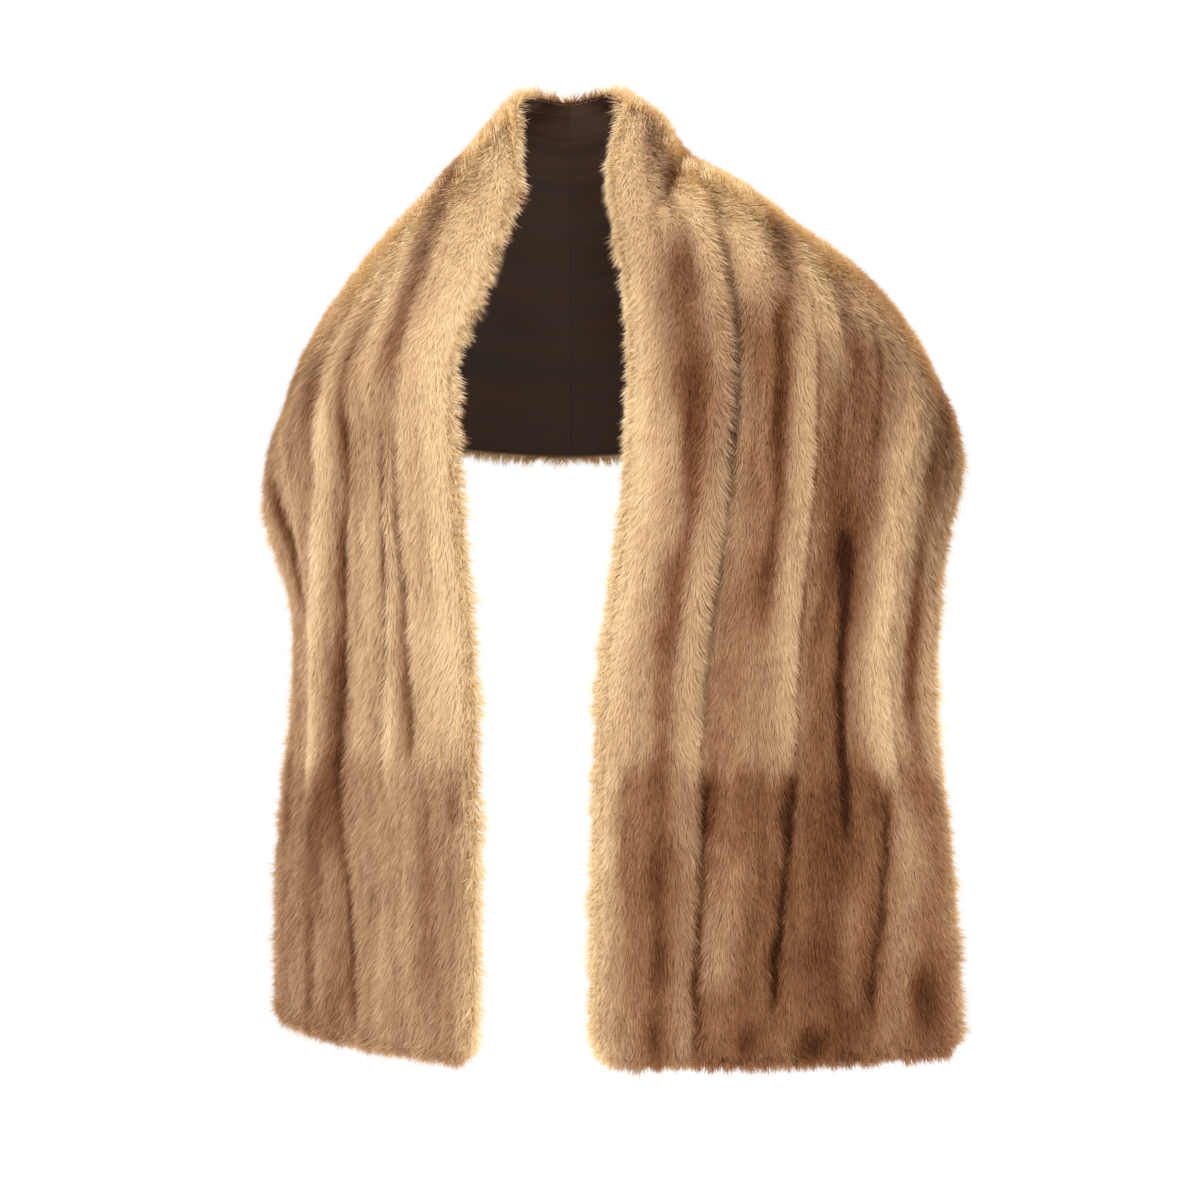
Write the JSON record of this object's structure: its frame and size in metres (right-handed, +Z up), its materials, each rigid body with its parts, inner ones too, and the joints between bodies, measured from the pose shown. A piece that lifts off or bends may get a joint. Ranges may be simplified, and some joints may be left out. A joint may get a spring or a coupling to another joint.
{
  "type": "evening stole",
  "caption": "Long straight evening stole in let-out fur, worn round the neck and over both shoulders, its two ends hanging down in front.",
  "frame": {"origin": "the point on the lining, at the centre back, where the stole rests on the wearer's nape", "axes": "+Z up, the front faces -Y, +X to the right as seen from the front"},
  "size_m": [0.714, 0.3616, 0.9744],
  "materials": {
    "blond_fur": "dense blond mink pile",
    "brown_fur": "dense brown mink pile",
    "satin_lining": "brown satin"
  },
  "bodies": {
    "root": {"row_left_1": "blond_fur", "row_left_2": "blond_fur", "row_left_3": "blond_fur", "row_left_4": "blond_fur", "row_right_1": "blond_fur", "row_right_2": "blond_fur", "row_right_3": "blond_fur", "row_right_4": "blond_fur", "end_left_1": "brown_fur", "end_left_2": "brown_fur", "end_left_3": "brown_fur", "end_left_4": "brown_fur", "end_right_1": "brown_fur", "end_right_2": "brown_fur", "end_right_3": "brown_fur", "end_right_4": "brown_fur", "lining_left": "satin_lining", "lining_right": "satin_lining"}
  },
  "joints": []
}
